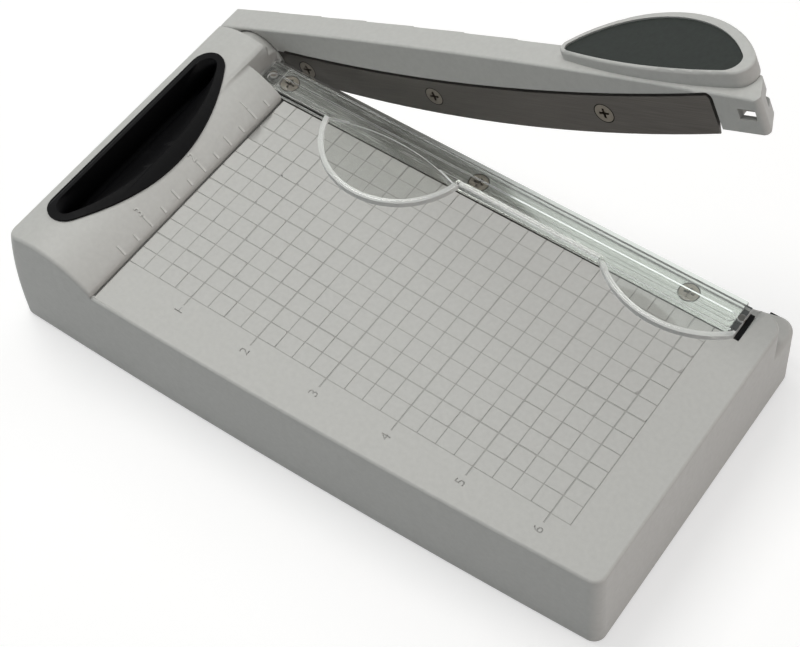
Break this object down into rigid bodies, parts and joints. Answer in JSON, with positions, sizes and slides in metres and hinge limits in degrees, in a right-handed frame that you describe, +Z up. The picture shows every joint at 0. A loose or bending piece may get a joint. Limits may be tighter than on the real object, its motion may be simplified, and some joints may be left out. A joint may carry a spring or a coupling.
{
  "type": "paper trimmer",
  "caption": "Lever paper trimmer: hollow deck with an arched head and finger grip, clear guard over a steel strip, and a pivoting bowed blade with a dished handle.",
  "frame": {"origin": "on the table under the middle of the whole trimmer, lever open as in the picture", "axes": "+X along the cutting edge from the head to the right end, +Y away from the user towards the lever's side, +Z up"},
  "size_m": [0.216, 0.1314, 0.1237],
  "materials": {
    "grey_plastic": "fine satin grain",
    "dark_plastic": "matte",
    "black_plastic": "satin",
    "bearing_plastic": "smooth",
    "clear_plastic": "clear, polished",
    "soft_grip": "matte",
    "foot_rubber": "matte",
    "blade_steel": "dark, ground lengthwise",
    "strip_steel": "ground lengthwise",
    "screw_steel": "plated",
    "bush_brass": "turned"
  },
  "bodies": {
    "base": {"base_shell": "grey_plastic", "base_plate": "dark_plastic", "base_plate_screws": "screw_steel", "rubber_feet": "foot_rubber", "carry_grip": "black_plastic", "fixed_blade": "strip_steel", "fixed_blade_screws": "screw_steel", "paper_guard": "clear_plastic", "guard_keeper": "black_plastic", "guard_screws": "screw_steel", "pivot_backing_plate": "screw_steel", "pivot_bolt": "screw_steel", "pivot_thrust_washer": "bearing_plastic", "pivot_head_washer": "screw_steel", "pivot_nut_washer": "screw_steel", "pivot_spring_washer": "screw_steel", "pivot_nut": "screw_steel", "lock_stop_plate": "strip_steel", "lock_stop_screw": "screw_steel"},
    "lever": {"lever_arm": "grey_plastic", "moving_blade": "blade_steel", "blade_screws": "screw_steel", "handle_grip": "soft_grip", "pivot_bush": "bush_brass"},
    "lock": {"lock_slider": "black_plastic"}
  },
  "joints": [
    {"name": "lever_hinge", "type": "hinge", "parent": "base", "child": "lever", "pos_m": [-0.08815, 0.04056, 0.0344], "axis": [0, -1, 0], "range_deg": [-25.5, 30]},
    {"name": "lock_slide", "type": "slide", "parent": "base", "child": "lock", "axis": [0, 1, 0], "range_m": [0, 0.0034]}
  ]
}
